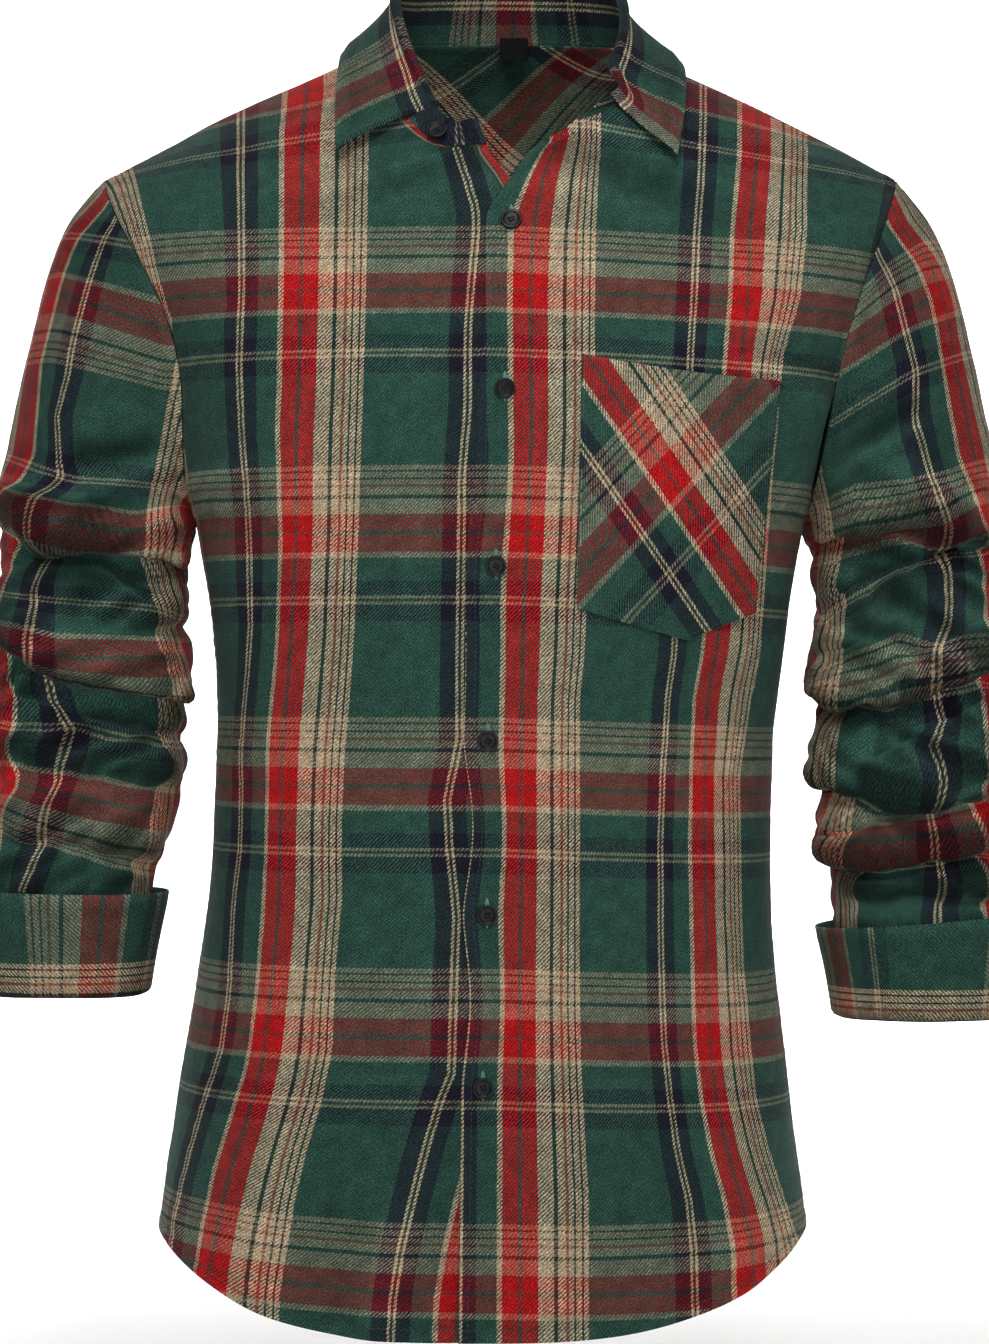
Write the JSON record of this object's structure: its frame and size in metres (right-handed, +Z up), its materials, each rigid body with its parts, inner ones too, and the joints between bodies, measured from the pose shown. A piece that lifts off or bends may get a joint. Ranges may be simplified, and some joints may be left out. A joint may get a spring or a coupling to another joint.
{
  "type": "flannel shirt",
  "caption": "Long-sleeved checked flannel shirt in its worn shape, with a spread pointed collar, a bias-cut chest pocket, a button front and turned-back cuffs.",
  "frame": {"origin": "between the shoulders, at the height of the neck points, on the line of the shoulders", "axes": "+Z up, from the hem to the collar; -Y the way the fronts face; +X the wearer's left, the side of the pocket and of the front that laps over"},
  "size_m": [0.6177, 0.27, 0.7936],
  "materials": {
    "shirt_cloth": "brushed cotton twill, woven in a green, red, navy and cream check",
    "buttons": "polished, with a raised rim and four holes",
    "neck_label": "satin woven, plain"
  },
  "bodies": {
    "root": {"front_left": "shirt_cloth", "front_right": "shirt_cloth", "back": "shirt_cloth", "yoke": "shirt_cloth", "sleeve_left": "shirt_cloth", "sleeve_right": "shirt_cloth", "cuff_left": "shirt_cloth", "cuff_right": "shirt_cloth", "collar_stand": "shirt_cloth", "collar_leaf": "shirt_cloth", "pocket": "shirt_cloth", "neck_label": "neck_label", "button_1": "buttons", "button_2": "buttons", "button_3": "buttons", "button_4": "buttons", "button_5": "buttons", "button_6": "buttons", "button_collar": "buttons"}
  },
  "joints": []
}
